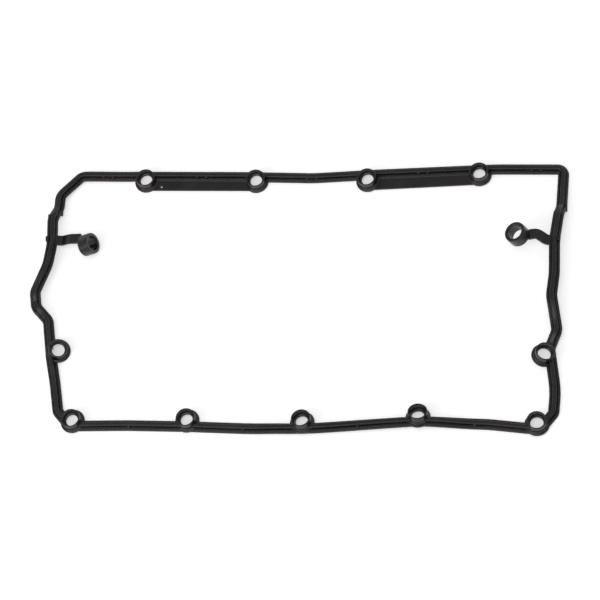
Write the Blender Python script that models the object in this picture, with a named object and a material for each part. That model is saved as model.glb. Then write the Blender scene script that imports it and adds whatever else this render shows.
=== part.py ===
"""Valve cover gasket: one moulded rubber frame with bolt eyelets, two webs and two grommets on arms.

Lengths are in millimetres here and are turned into metres when a mesh is made.
X runs along the two bolt rows, Y from the front row to the back row, Z up from the table.
"""
import math
from typing import NamedTuple

import bmesh
import bpy
from mathutils import Matrix, Vector

MM = 0.001

# Bolt pattern: the front row has a bolt on each side of every cylinder, the back row sits half way between.
BOLT_PITCH = 88.0
ROW_SPACING = 202.0
BACK_ROW_SHIFT = -1.1
LEFT_BOLT_INSET = -16.3
LEFT_BOLT_UP = 57.55
RIGHT_BOLT_INSET = 4.2
RIGHT_BOLT_UP = 54.35

# The way the soft part lies: how far each eyelet of the rows has drifted from the pattern, in X and Y.
DRIFT = {
    "front_1": (1.0, -0.55),
    "front_2": (1.4, -0.45),
    "front_3": (1.2, -2.6),
    "front_4": (0.1, 1.0),
    "front_5": (0.1, -3.85),
    "back_1": (0.2, -0.55),
    "back_2": (0.0, -2.3),
    "back_3": (0.0, -3.2),
    "back_4": (-1.4, 0.05),
}
# The lean of each eyelet's top, in degrees to the right and to the back.
LEAN_DEGREES = {
    "front_1": (-4.0, 0.5),
    "front_2": (-3.0, 2.8),
    "front_3": (-4.0, 10.0),
    "front_4": (0.0, 17.5),
    "front_5": (-0.5, 5.0),
    "back_1": (-1.0, 1.0),
    "back_2": (-1.5, -2.0),
    "back_3": (-4.8, -0.8),
    "back_4": (-2.0, 2.7),
    "left": (10.0, -5.0),
    "right": (13.0, 4.0),
}
# The eyelets with the wider hole.
WIDE_EYELETS = ("front_5", "left", "right")

# Section of the strip: a flat flange with a rib in its middle and a low bead on each side of the rib.
FLANGE_WIDTH = 8.5
FLANGE_THICKNESS = 2.0
FLANGE_CHAMFER = 0.3
RIB_WIDTH = 3.0
RIB_HEIGHT = 3.5
RIB_ROUND = 0.5
BEAD_FROM_RIB = 1.2
BEAD_WIDTH = 0.7
BEAD_HEIGHT = 0.35
SEAT_GAP = 0.15

# Bolt eyelet: a short tube with a wide foot and a lip part of the way down its bore.
EYELET_FOOT_RADIUS = 9.4
EYELET_FOOT_HEIGHT = 1.6
EYELET_TUBE_RADIUS = 7.5
EYELET_HEIGHT = 8.4
EYELET_BORE_RADIUS = 6.3
EYELET_LIP_RADIUS = 4.6
EYELET_WIDE_LIP_RADIUS = 4.9
EYELET_LIP_BOTTOM = 2.2
EYELET_LIP_TOP = 3.8
EYELET_ROUND = 0.4
EYELET_RELIEF_SLOPE = 0.6
CUTTER_REACH = 4.0

# Webs: thin plates in front of the back rail, between two pairs of eyelets.
WEB_REACH = 7.8
WEB_BACK = 3.0
WEB_THICKNESS = 1.6
WEB_LIFT = 0.3
WEB_PINHOLE_RADIUS = 0.9
WEB_PINHOLE_OFFSET = (12.1, -5.05)

# Arms and grommets.
ARM_WIDTH = 8.2
ARM_THICKNESS = 2.2
ARM_EDGE = 0.4
GROMMET_RADIUS = 8.5
GROMMET_BORE_RADIUS = 5.7
GROMMET_LENGTH = 9.0
GROMMET_ROUND = 0.5
GROMMET_CUT_BELOW = 0.6

# Small features on the strip.
PIP_RADIUS = 0.95
PIP_STAND_OUT = 0.35
PIP_PAIR_SPACING = 7.4
STUD_LENGTH = 4.2
STUD_WIDTH = 2.6
STUD_HEIGHT = 2.6
STUD_STAND_OUT = 0.2
BLOCK_EDGE = 0.5
LEDGE_GAP = 0.2

# How finely round shapes are cut.
ROUND_STEPS = 18
SMALL_ROUND_STEPS = 8
BORE_STEPS = 16
BEND_STEP_DEGREES = 24.0
RAMP_STEP = 6.5

RUBBER_COLOUR = (0.022, 0.022, 0.024, 1.0)
RUBBER_ROUGHNESS = 0.42


class Bolt(NamedTuple):
    """One bolt eyelet: its foot's centre, the lift of that centre, the lean of its top, and its lip's radius."""

    x: float
    y: float
    lift: float
    lean: Matrix
    lip_radius: float


class Corner(NamedTuple):
    """A corner of the strip's route, measured from an eyelet: offset, bend radius, rise and roll."""

    anchor: str
    dx: float
    dy: float
    radius: float
    rise: float = 0.0
    roll: float = 0.0


def leaning_bolt(name, x, y):
    """A bolt eyelet at a place, lifted so far that the low edge of its leaning foot rests on the table."""
    in_x, in_y = (math.radians(degrees) for degrees in LEAN_DEGREES[name])
    lean = Matrix.Rotation(in_x, 4, "Y") @ Matrix.Rotation(-in_y, 4, "X")
    tilt = math.acos(min(lean[2][2], 1.0))
    lip_radius = EYELET_WIDE_LIP_RADIUS if name in WIDE_EYELETS else EYELET_LIP_RADIUS
    return Bolt(x, y, EYELET_FOOT_RADIUS * math.sin(tilt), lean, lip_radius)


def bolt_table():
    """Where each eyelet lies: two rows about the same middle, and one eyelet on each side."""
    places = {}
    for row, row_x, row_y in (("front", 0.0, 0.0), ("back", BACK_ROW_SHIFT, ROW_SPACING)):
        names = [name for name in DRIFT if name.startswith(row)]
        for index, name in enumerate(names):
            from_middle = (index - (len(names) - 1) / 2) * BOLT_PITCH
            places[name] = (row_x + from_middle + DRIFT[name][0], row_y + DRIFT[name][1])
    left, right = places["front_1"], places["front_5"]
    places["left"] = (left[0] + LEFT_BOLT_INSET, left[1] + LEFT_BOLT_UP)
    places["right"] = (right[0] + RIGHT_BOLT_INSET, right[1] + RIGHT_BOLT_UP)
    return {name: leaning_bolt(name, *place) for name, place in places.items()}


# The route runs with the open middle on its left: front rail, right side, back rail, left side.
ROUTE = [
    Corner("front_1", -12.4, 8.05, 6.0),
    Corner("front_1", -2.0, -3.65, 6.0),
    Corner("front_2", 0.0, -4.4, 300.0),
    Corner("front_3", 0.0, -4.7, 300.0, 1.0, 6.0),
    Corner("front_4", 0.0, -3.1, 120.0, 2.4, 11.0),
    Corner("front_5", -36.1, -0.25, 120.0),
    Corner("front_5", -4.1, -3.25, 12.0),
    Corner("front_5", 3.9, -1.75, 5.0),
    Corner("front_5", 12.1, 8.95, 5.0),
    Corner("front_5", 13.3, 26.95, 80.0),
    Corner("right", 4.4, 6.2, 12.0, 0.5),
    Corner("right", 10.0, 19.7, 12.0, 2.6),
    Corner("right", 5.7, 47.4, 25.0, 6.0),
    Corner("back_4", 58.5, -86.35, 60.0, 6.0),
    Corner("back_4", 58.4, -58.35, 60.0, 6.0),
    Corner("back_4", 61.1, -38.55, 10.0, 6.0),
    Corner("back_4", 63.5, -27.85, 10.0, 1.5),
    Corner("back_4", 64.8, 3.85, 5.0),
    Corner("back_4", 12.5, 4.95, 200.0),
    Corner("back_3", 7.1, 5.5, 200.0),
    Corner("back_3", -42.9, 3.2, 120.0),
    Corner("back_2", -8.9, 4.4, 200.0),
    Corner("back_1", -9.1, 4.45, 200.0, 0.3),
    Corner("back_1", -52.4, 4.45, 7.0, 2.0),
    Corner("back_1", -67.9, -12.95, 9.0, 3.0),
    Corner("back_1", -68.0, -22.75, 10.0, 3.0),
    Corner("back_1", -71.7, -35.75, 10.0, 6.5, 14.0),
    Corner("back_1", -70.3, -54.75, 60.0, 6.5, 12.0),
    Corner("back_1", -72.1, -73.75, 40.0, 6.5, 8.0),
    Corner("back_1", -80.0, -96.75, 10.0, 6.0, 2.0),
    Corner("left", -20.0, 35.2, 10.0, 4.6),
    Corner("left", -10.1, 25.3, 9.0, 1.6),
    Corner("left", -5.6, -4.1, 60.0, 0.6, 5.0),
    Corner("front_1", -17.5, 31.45, 120.0),
]

# Each arm: the eyelet it is measured from, its root on the strip, its bends, its tip measured from the
# grommet's base, and that base and axis. A bend is a share of the way to the tip, an offset in Y and a height.
LEFT_ARM = {
    "anchor": "back_1",
    "root": (-69.6, -52.65, 8.0),
    "bends": [(0.18, 0.2, 6.4), (0.33, 0.4, 6.2), (0.48, 0.4, 8.2), (0.62, 0.25, 10.0), (0.81, 0.05, 11.2)],
    "tip": (-2.4, 4.3, 4.1),
    "base": (-44.3, -58.15, 7.9),
    "axis": (0.885, 0.045, 0.462),
}
RIGHT_ARM = {
    "anchor": "back_4",
    "root": (58.5, -58.15, 7.6),
    "bends": [(0.2, -0.75, 7.2), (0.35, -0.5, 8.0), (0.5, 0.45, 10.4), (0.65, 1.2, 12.2), (0.8, 0.95, 12.6)],
    "tip": (6.2, 0.3, 2.0),
    "base": (32.3, -56.75, 10.0),
    "axis": (-0.42, 0.05, 0.905),
}

# Ledges at the steps of the two sides: an eyelet, the middle in X and Y from it, width, length, underside.
STEP_LEDGES = [
    ("back_1", -66.4, -26.45, 3.8, 7.8, 3.25),
    ("back_1", -73.4, -33.65, 4.0, 6.0, 6.75),
    ("back_4", 66.0, -29.55, 3.6, 6.4, 1.8),
    ("back_4", 59.4, -36.65, 4.0, 4.0, 6.25),
]

# Retention pips on the front of the rib: an eyelet and the distance along X from it.
SINGLE_PIPS = [("front_1", 44.0), ("front_2", 43.4), ("front_3", 42.3), ("front_4", 42.3)]
PAIRED_PIPS = [("back_1", -30.6), ("back_1", 44.3), ("back_2", 43.9), ("back_3", 43.1), ("back_4", 43.8)]
# Locating studs on the outer flange: an eyelet, the distance along Y from it, and the side.
STUDS = [("back_1", -52.65, "left"), ("back_4", -57.75, "right")]


def clear_scene():
    """Removes whatever the scene holds."""
    for item in list(bpy.data.objects):
        bpy.data.objects.remove(item)


def rubber_material():
    """Matte black moulded rubber."""
    material = bpy.data.materials.new("black_rubber")
    material.use_nodes = True
    shader = material.node_tree.nodes["Principled BSDF"]
    shader.inputs["Base Color"].default_value = RUBBER_COLOUR
    shader.inputs["Roughness"].default_value = RUBBER_ROUGHNESS
    shader.inputs["Metallic"].default_value = 0.0
    return material


def mesh_object(name, mesh_data, parent, is_guide=True):
    """Makes an object of a bmesh that is in millimetres; a guide is hidden from the model."""
    bmesh.ops.scale(mesh_data, vec=(MM, MM, MM), verts=mesh_data.verts)
    bmesh.ops.recalc_face_normals(mesh_data, faces=mesh_data.faces)
    mesh = bpy.data.meshes.new(name)
    mesh_data.to_mesh(mesh)
    mesh_data.free()
    mesh.shade_smooth()
    mesh.set_sharp_from_angle(angle=math.radians(35.0))
    item = bpy.data.objects.new(name, mesh)
    bpy.context.collection.objects.link(item)
    item.parent = parent
    if is_guide:
        item.hide_render = True
        item.display_type = "WIRE"
    return item


def strip_section():
    """Outline of the strip's section: across, towards the open middle, and up from its underside."""
    half = FLANGE_WIDTH / 2
    rib = RIB_WIDTH / 2
    top = FLANGE_THICKNESS + RIB_HEIGHT
    bead = rib + BEAD_FROM_RIB
    right_half = [
        (half - FLANGE_CHAMFER, 0.0),
        (half, FLANGE_CHAMFER),
        (half, FLANGE_THICKNESS - FLANGE_CHAMFER),
        (half - FLANGE_CHAMFER, FLANGE_THICKNESS),
        (bead + BEAD_WIDTH / 2, FLANGE_THICKNESS),
        (bead, FLANGE_THICKNESS + BEAD_HEIGHT),
        (bead - BEAD_WIDTH / 2, FLANGE_THICKNESS),
        (rib, FLANGE_THICKNESS),
        (rib, top - RIB_ROUND),
        (rib - RIB_ROUND, top),
    ]
    return right_half + [(-across, up) for across, up in reversed(right_half)]


def route_points(bolts):
    """The route's corners in plan, with their bend radius, rise and roll."""
    points = []
    for corner in ROUTE:
        anchor = bolts[corner.anchor]
        place = Vector((anchor.x + corner.dx, anchor.y + corner.dy))
        points.append((place, corner.radius, corner.rise, corner.roll))
    return points


def bend_at(before, here, after, radius):
    """The plan points of one rounded corner, from where the bend starts to where it ends."""
    towards = (here - before).normalized()
    away = (after - here).normalized()
    turn = math.atan2(towards.x * away.y - towards.y * away.x, towards.dot(away))
    if abs(turn) < 1e-4:
        return [here]
    room = 0.48 * min((here - before).length, (after - here).length)
    cut = min(radius * math.tan(abs(turn) / 2), room)
    bend_radius = cut / math.tan(abs(turn) / 2)
    side = math.copysign(1.0, turn)
    start = here - towards * cut
    centre = start + Vector((-towards.y, towards.x)) * side * bend_radius
    steps = max(1, math.ceil(math.degrees(abs(turn)) / BEND_STEP_DEGREES))
    arm = start - centre
    arc = []
    for step in range(steps + 1):
        angle = turn * step / steps
        turned = Vector((arm.x * math.cos(angle) - arm.y * math.sin(angle),
                         arm.x * math.sin(angle) + arm.y * math.cos(angle)))
        arc.append(centre + turned)
    return arc


def ease(share):
    """A smooth step from 0 to 1."""
    return share * share * (3.0 - 2.0 * share)


def strip_stations(bolts):
    """Stations along the strip: the middle of the underside, and the roll in degrees."""
    corners = route_points(bolts)
    bends = []
    for index, (here, radius, rise, roll) in enumerate(corners):
        before = corners[index - 1][0]
        after = corners[(index + 1) % len(corners)][0]
        bends.append((bend_at(before, here, after, radius), rise, roll))
    stations = []
    for index, (arc, rise, roll) in enumerate(bends):
        next_arc, next_rise, next_roll = bends[(index + 1) % len(bends)]
        stations += [(point, rise, roll) for point in arc]
        start, end = arc[-1], next_arc[0]
        changes = abs(next_rise - rise) > 0.05 or abs(next_roll - roll) > 0.5
        if not changes:
            continue
        steps = max(2, min(4, round((end - start).length / RAMP_STEP)))
        for step in range(1, steps):
            share = step / steps
            blend = ease(share)
            stations.append((start.lerp(end, share), rise + (next_rise - rise) * blend,
                             roll + (next_roll - roll) * blend))
    lifted = []
    for place, rise, roll in stations:
        point = Vector((place.x, place.y, SEAT_GAP + rise))
        if not lifted or (point - lifted[-1][0]).length > 0.4:
            lifted.append((point, roll))
    return lifted


def frame_along(points, index, is_closed):
    """Directions at one point of a path: along it, across it to the left, and up."""
    count = len(points)
    before = points[(index - 1) % count] if is_closed or index > 0 else points[index]
    after = points[(index + 1) % count] if is_closed or index < count - 1 else points[index]
    here = points[index]
    forward = Vector((0.0, 0.0, 0.0))
    for leg in (here - before, after - here):
        if leg.length > 0.0:
            forward += leg.normalized()
    forward.normalize()
    across = Vector((-forward.y, forward.x, 0.0)).normalized()
    return forward, across, forward.cross(across)


def sweep(points, rolls, section, is_closed):
    """Carries a section along a path; an open path gets flat ends."""
    shape = bmesh.new()
    rings = []
    count = len(points)
    for index, (point, roll) in enumerate(zip(points, rolls)):
        forward, across, up = frame_along(points, index, is_closed)
        angle = math.radians(roll)
        leaned_up = up * math.cos(angle) + across * math.sin(angle)
        leaned_across = across * math.cos(angle) - up * math.sin(angle)
        before = points[(index - 1) % count]
        mitre = 1.0
        if is_closed or 0 < index < count - 1:
            turn = (point - before).normalized().dot(forward)
            mitre = 1.0 / max(turn, 0.7)
        ring = [shape.verts.new(point + leaned_across * u * mitre + leaned_up * w) for u, w in section]
        rings.append(ring)
    spans = len(rings) if is_closed else len(rings) - 1
    size = len(section)
    for index in range(spans):
        ring, following = rings[index], rings[(index + 1) % len(rings)]
        for side in range(size):
            other = (side + 1) % size
            shape.faces.new((ring[side], following[side], following[other], ring[other]))
    if not is_closed:
        shape.faces.new(rings[0])
        shape.faces.new(list(reversed(rings[-1])))
    return shape


def turned(profile, steps):
    """Turns a profile of radius and height about Z into a solid."""
    shape = bmesh.new()
    verts = [shape.verts.new((radius, 0.0, height)) for radius, height in profile]
    edges = [shape.edges.new(pair) for pair in zip(verts, verts[1:])]
    bmesh.ops.spin(shape, geom=verts + edges, axis=(0, 0, 1), cent=(0, 0, 0), steps=steps,
                   angle=2 * math.pi, use_merge=True)
    bmesh.ops.remove_doubles(shape, verts=shape.verts, dist=1e-4)
    return shape


def place_at(shape, matrix):
    """Moves a bmesh by a matrix and gives it back."""
    bmesh.ops.transform(shape, matrix=matrix, verts=shape.verts)
    return shape


def gather(shapes):
    """Puts several bmeshes into one; their shells stay apart."""
    whole = bmesh.new()
    scratch = bpy.data.meshes.new("scratch")
    for shape in shapes:
        shape.to_mesh(scratch)
        shape.free()
        whole.from_mesh(scratch)
    bpy.data.meshes.remove(scratch)
    return whole


def bolt_matrix(bolt):
    """Places an eyelet: its foot's centre, with its top leaning as it lies."""
    return Matrix.Translation((bolt.x, bolt.y, bolt.lift)) @ bolt.lean


def eyelet_body():
    """The outside of one eyelet: foot, hollowed flare and tube, closed on its axis."""
    foot, tube = EYELET_FOOT_RADIUS, EYELET_TUBE_RADIUS
    flare = foot - tube
    profile = [(0.0, 0.0), (foot, 0.0), (foot, EYELET_FOOT_HEIGHT)]
    for step in range(1, 3):
        angle = math.radians(40.0 * step)
        profile.append((foot - flare * 0.8 * math.sin(angle),
                        EYELET_FOOT_HEIGHT + flare * (1.0 - math.cos(angle))))
    profile += [(tube, EYELET_HEIGHT - EYELET_ROUND), (tube - EYELET_ROUND, EYELET_HEIGHT), (0.0, EYELET_HEIGHT)]
    return turned(profile, ROUND_STEPS)


def eyelet_bore(lip_radius):
    """The hole through one eyelet: it opens out below the lip and steps out above it."""
    step = EYELET_BORE_RADIUS - lip_radius
    mouth = lip_radius + (EYELET_LIP_BOTTOM + CUTTER_REACH) * EYELET_RELIEF_SLOPE
    profile = [
        (0.0, -CUTTER_REACH),
        (mouth, -CUTTER_REACH),
        (lip_radius, EYELET_LIP_BOTTOM),
        (lip_radius, EYELET_LIP_TOP - step / 3),
        (EYELET_BORE_RADIUS, EYELET_LIP_TOP),
        (EYELET_BORE_RADIUS, EYELET_HEIGHT + CUTTER_REACH),
        (0.0, EYELET_HEIGHT + CUTTER_REACH),
    ]
    return turned(profile, BORE_STEPS)


def web_plate(left_bolt, right_bolt):
    """A thin plate between two eyelets, from behind the rib to its free front edge."""
    shape = bmesh.new()
    corners = [
        (left_bolt.x, left_bolt.y - WEB_REACH),
        (right_bolt.x, right_bolt.y - WEB_REACH),
        (right_bolt.x, right_bolt.y + WEB_BACK),
        (left_bolt.x, left_bolt.y + WEB_BACK),
    ]
    face = shape.faces.new([shape.verts.new((x, y, WEB_LIFT)) for x, y in corners])
    grown = bmesh.ops.extrude_face_region(shape, geom=[face])
    top = [item for item in grown["geom"] if isinstance(item, bmesh.types.BMVert)]
    bmesh.ops.translate(shape, vec=(0, 0, WEB_THICKNESS), verts=top)
    return shape


def web_pinhole(bolt):
    """The pinhole in the left web."""
    dx, dy = WEB_PINHOLE_OFFSET
    radius, reach = WEB_PINHOLE_RADIUS, CUTTER_REACH
    profile = [(0.0, -reach), (radius, -reach), (radius, reach), (0.0, reach)]
    return place_at(turned(profile, SMALL_ROUND_STEPS), Matrix.Translation((bolt.x + dx, bolt.y + dy, 0.0)))


def arm_points(arm, bolts):
    """The middle line of an arm, from its root on the strip to its tip in the grommet's wall."""
    anchor = bolts[arm["anchor"]]
    foot = Vector((anchor.x, anchor.y, 0.0))
    root = foot + Vector(arm["root"])
    tip = foot + Vector(arm["base"]) + Vector(arm["tip"])
    bends = []
    for share, aside, height in arm["bends"]:
        place = root.lerp(tip, share)
        bends.append(Vector((place.x, place.y + aside, height)))
    return [root] + bends + [tip]


def arm_strap(arm, bolts):
    """The bent strap that carries a grommet."""
    points = arm_points(arm, bolts)
    wide, thick, edge = ARM_WIDTH / 2, ARM_THICKNESS / 2, ARM_EDGE
    section = [
        (wide - edge, -thick), (wide, edge - thick), (wide, thick - edge), (wide - edge, thick),
        (edge - wide, thick), (-wide, thick - edge), (-wide, edge - thick), (edge - wide, -thick),
    ]
    return sweep(points, [0.0] * len(points), section, False)


def grommet_matrix(arm, bolts):
    """Places a grommet's base on its arm, with its axis leaning as it lies."""
    anchor = bolts[arm["anchor"]]
    x, y, z = arm["base"]
    turn = Vector((0, 0, 1)).rotation_difference(Vector(arm["axis"])).to_matrix().to_4x4()
    return Matrix.Translation((anchor.x + x, anchor.y + y, z)) @ turn


def grommet_body():
    """The outside of a grommet: a tube with rounded ends."""
    profile = [
        (0.0, 0.0),
        (GROMMET_RADIUS - GROMMET_ROUND, 0.0),
        (GROMMET_RADIUS, GROMMET_ROUND),
        (GROMMET_RADIUS, GROMMET_LENGTH - GROMMET_ROUND),
        (GROMMET_RADIUS - GROMMET_ROUND, GROMMET_LENGTH),
        (0.0, GROMMET_LENGTH),
    ]
    return turned(profile, ROUND_STEPS)


def grommet_bore():
    """The hole through a grommet, eased at its mouth."""
    profile = [
        (0.0, -GROMMET_CUT_BELOW),
        (GROMMET_BORE_RADIUS, -GROMMET_CUT_BELOW),
        (GROMMET_BORE_RADIUS, GROMMET_LENGTH - GROMMET_ROUND),
        (GROMMET_BORE_RADIUS + 2 * GROMMET_ROUND, GROMMET_LENGTH + GROMMET_ROUND),
        (0.0, GROMMET_LENGTH + GROMMET_ROUND),
    ]
    return turned(profile, BORE_STEPS)


def nearest_on_strip(stations, x=None, y=None, front=True, left=True):
    """The place on the strip at a given X on a rail, or at a given Y on a side."""
    points = [point for point, _ in stations]
    middle = sum((p.y for p in points)) / len(points)
    centre = sum((p.x for p in points)) / len(points)
    for index, start in enumerate(points):
        end = points[(index + 1) % len(points)]
        if x is not None:
            inside = min(start.x, end.x) <= x <= max(start.x, end.x) and abs(end.x - start.x) > 1e-6
            if inside and (start.y < middle) == front and abs(end.x - start.x) > abs(end.y - start.y):
                return start.lerp(end, (x - start.x) / (end.x - start.x)), (end - start).normalized()
        else:
            inside = min(start.y, end.y) <= y <= max(start.y, end.y) and abs(end.y - start.y) > 1e-6
            if inside and (start.x < centre) == left and abs(end.y - start.y) > abs(end.x - start.x):
                return start.lerp(end, (y - start.y) / (end.y - start.y)), (end - start).normalized()
    raise ValueError("the strip does not reach that place")


def pip(place, front_offset):
    """One retention pip: a round stub against the front wall of the rib."""
    reach = RIB_WIDTH / 2 + PIP_STAND_OUT - PIP_RADIUS * 0.55
    base = FLANGE_THICKNESS * 0.5
    profile = [
        (0.0, base),
        (PIP_RADIUS, base),
        (PIP_RADIUS, FLANGE_THICKNESS + RIB_HEIGHT * 0.55),
        (PIP_RADIUS * 0.55, FLANGE_THICKNESS + RIB_HEIGHT * 0.75),
        (0.0, FLANGE_THICKNESS + RIB_HEIGHT * 0.75),
    ]
    where = Vector((place.x, place.y + front_offset * reach, place.z))
    return place_at(turned(profile, SMALL_ROUND_STEPS), Matrix.Translation(where))


def all_pips(bolts, stations):
    """Every retention pip on the two rails."""
    shapes = []
    for name, along in SINGLE_PIPS:
        place, _ = nearest_on_strip(stations, x=bolts[name].x + along, front=True)
        shapes.append(pip(place, -1.0))
    for name, along in PAIRED_PIPS:
        for side in (-0.5, 0.5):
            x = bolts[name].x + along + side * PIP_PAIR_SPACING
            place, _ = nearest_on_strip(stations, x=x, front=False)
            shapes.append(pip(place, -1.0))
    return shapes


def stud(bolts, stations, name, along, side):
    """A locating stud on the outer flange beside an arm's root."""
    place, forward = nearest_on_strip(stations, y=bolts[name].y + along, left=side == "left")
    across = Vector((-forward.y, forward.x, 0.0)).normalized()
    outward = -across
    middle = place + outward * (FLANGE_WIDTH / 2 - STUD_WIDTH / 2 + STUD_STAND_OUT)
    tall = STUD_HEIGHT + FLANGE_THICKNESS * 0.5
    turn = Matrix.Rotation(math.atan2(forward.y, forward.x) - math.pi / 2, 4, "Z")
    height = FLANGE_THICKNESS * 0.5 + tall / 2
    return place_at(block((STUD_WIDTH, STUD_LENGTH, tall)),
                    Matrix.Translation(middle + Vector((0, 0, height))) @ turn)


def block(size):
    """A plain block about its own middle, with its upright edges eased."""
    shape = bmesh.new()
    bmesh.ops.create_cube(shape, size=1.0)
    bmesh.ops.scale(shape, vec=size, verts=shape.verts)
    upright = [edge for edge in shape.edges if abs(edge.verts[0].co.z - edge.verts[1].co.z) > 0.1]
    bmesh.ops.bevel(shape, geom=upright, offset=BLOCK_EDGE, segments=1, profile=0.5, affect="EDGES", material=-1)
    return shape


def step_ledge(bolts, name, x, y, width, length, underside):
    """The end of a flange that runs on past a step, flat at its own level."""
    thick = FLANGE_THICKNESS - LEDGE_GAP
    middle = (bolts[name].x + x, bolts[name].y + y, SEAT_GAP + underside + thick / 2)
    return place_at(block((width, length, thick)), Matrix.Translation(middle))


def add_boolean(item, other, operation):
    """Adds an exact boolean with another object."""
    modifier = item.modifiers.new(f"{operation.lower()}_{other.name}", "BOOLEAN")
    modifier.operation = operation
    modifier.solver = "EXACT"
    modifier.object = other


def settle_on_origin(root, item):
    """Moves the whole part so that the middle of its underside is the origin."""
    bpy.context.view_layer.update()
    evaluated = item.evaluated_get(bpy.context.evaluated_depsgraph_get())
    mesh = evaluated.to_mesh()
    places = [item.matrix_world @ vertex.co for vertex in mesh.vertices]
    low = [min(place[axis] for place in places) for axis in range(3)]
    high = [max(place[axis] for place in places) for axis in range(3)]
    evaluated.to_mesh_clear()
    root.location = (-(low[0] + high[0]) / 2, -(low[1] + high[1]) / 2, -low[2])
    bpy.context.view_layer.update()


def build():
    """Makes the gasket."""
    clear_scene()
    bolts = bolt_table()
    root = bpy.data.objects.new("gasket_root", None)
    bpy.context.collection.objects.link(root)

    stations = strip_stations(bolts)
    strip = sweep([point for point, _ in stations], [roll for _, roll in stations], strip_section(), True)
    gasket = mesh_object("valve_cover_gasket", strip, root, is_guide=False)
    gasket.data.materials.append(rubber_material())

    bodies = gather([place_at(eyelet_body(), bolt_matrix(bolt)) for bolt in bolts.values()])
    webs = [web_plate(bolts["back_1"], bolts["back_2"]), web_plate(bolts["back_3"], bolts["back_4"])]
    arms = [arm_strap(arm, bolts) for arm in (LEFT_ARM, RIGHT_ARM)]
    tubes = [place_at(grommet_body(), grommet_matrix(arm, bolts)) for arm in (LEFT_ARM, RIGHT_ARM)]
    studs = [stud(bolts, stations, *place) for place in STUDS]
    studs += [step_ledge(bolts, *place) for place in STEP_LEDGES]
    bores = [place_at(eyelet_bore(bolt.lip_radius), bolt_matrix(bolt)) for bolt in bolts.values()]
    bores += [place_at(grommet_bore(), grommet_matrix(arm, bolts)) for arm in (LEFT_ARM, RIGHT_ARM)]
    bores.append(web_pinhole(bolts["back_1"]))

    add_boolean(gasket, mesh_object("web_and_arm_forms", gather(webs + arms), root), "UNION")
    add_boolean(gasket, mesh_object("pip_and_stud_forms", gather(all_pips(bolts, stations) + studs), root), "UNION")
    add_boolean(gasket, mesh_object("eyelet_forms", bodies, root), "UNION")
    add_boolean(gasket, mesh_object("grommet_forms", gather(tubes), root), "UNION")
    add_boolean(gasket, mesh_object("bore_cutters", gather(bores), root), "DIFFERENCE")
    settle_on_origin(root, gasket)


build()
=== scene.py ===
"""The moulded rubber valve cover gasket, dressed for its photograph.

The gasket's and the camera's lengths are in millimetres in the bolt frame, whose origin is the middle of
the front bolt row. The finished piece is moved and scaled once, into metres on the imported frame. The
table's and the lamps' lengths are in metres.
"""
from __future__ import annotations

import logging
import math
from dataclasses import dataclass, field
from enum import Enum
from typing import Any, Iterable, Sequence

import bmesh
import bpy
from mathutils import Matrix, Vector

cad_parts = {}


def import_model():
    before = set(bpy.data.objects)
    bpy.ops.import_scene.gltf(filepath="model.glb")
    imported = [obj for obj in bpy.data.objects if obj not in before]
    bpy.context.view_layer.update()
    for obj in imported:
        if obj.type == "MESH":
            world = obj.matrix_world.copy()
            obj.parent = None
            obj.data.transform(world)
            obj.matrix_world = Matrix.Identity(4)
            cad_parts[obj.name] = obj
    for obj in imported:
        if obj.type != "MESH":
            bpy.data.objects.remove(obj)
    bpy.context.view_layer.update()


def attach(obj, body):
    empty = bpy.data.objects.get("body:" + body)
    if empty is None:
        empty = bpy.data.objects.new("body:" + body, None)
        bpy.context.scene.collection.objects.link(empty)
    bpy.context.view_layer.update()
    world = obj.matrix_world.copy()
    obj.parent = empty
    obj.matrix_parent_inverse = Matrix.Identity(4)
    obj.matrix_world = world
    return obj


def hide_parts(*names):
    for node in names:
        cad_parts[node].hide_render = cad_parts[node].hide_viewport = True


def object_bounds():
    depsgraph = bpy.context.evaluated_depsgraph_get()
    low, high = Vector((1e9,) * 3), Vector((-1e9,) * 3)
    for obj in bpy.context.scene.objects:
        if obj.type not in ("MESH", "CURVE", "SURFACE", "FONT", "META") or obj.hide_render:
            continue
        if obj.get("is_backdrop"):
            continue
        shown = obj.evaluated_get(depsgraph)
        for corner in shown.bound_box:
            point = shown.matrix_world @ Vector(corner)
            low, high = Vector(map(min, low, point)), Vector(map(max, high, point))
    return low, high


LOG = logging.getLogger("valve_cover_gasket")

MM = 0.001
NODE = "valve_cover_gasket"
BODY = "root"
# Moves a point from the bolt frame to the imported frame.
FRAME_SHIFT = Vector((9.26042, -99.15017, -0.00088))
# Points nearer than this are one point: in millimetres in a single form, in metres once all are joined.
WELD_MM = 1e-4
JOINED_WELD = 2e-6
JOINED_SLIVER = 1e-6
# The most of a side that one rounded corner may take.
ROUND_SHARE = 0.49
EASE_SEGMENTS = 3
# A smaller turn, in radians, is no bend, and a shorter run doesn't cross a line.
LEAST_TURN = 1e-4
LEAST_RUN = 1e-6
# The Mix node's sockets for its two colours, and its colour result.
MIX_FIRST, MIX_SECOND, MIX_RESULT = 6, 7, 2

Shape = bmesh.types.BMesh
Profile = list[tuple[float, float]]
Colour = tuple[float, float, float, float]


class Side(Enum):
    """The two short sides of the frame."""

    LEFT = "left"
    RIGHT = "right"


class Rail(Enum):
    """The two long rails of the frame."""

    FRONT = "front"
    BACK = "back"


# Small helpers.


def linear_colour(hex_code: str) -> Colour:
    """Turns an sRGB hex colour into linear values.

    Args:
        hex_code: Six hex digits with a leading hash.

    Returns:
        The linear red, green and blue, with an alpha of 1.
    """
    values = [int(hex_code[start:start + 2], 16) / 255 for start in (1, 3, 5)]
    red, green, blue = (v / 12.92 if v <= 0.04045 else ((v + 0.055) / 1.055) ** 2.4 for v in values)
    return red, green, blue, 1.0


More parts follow.
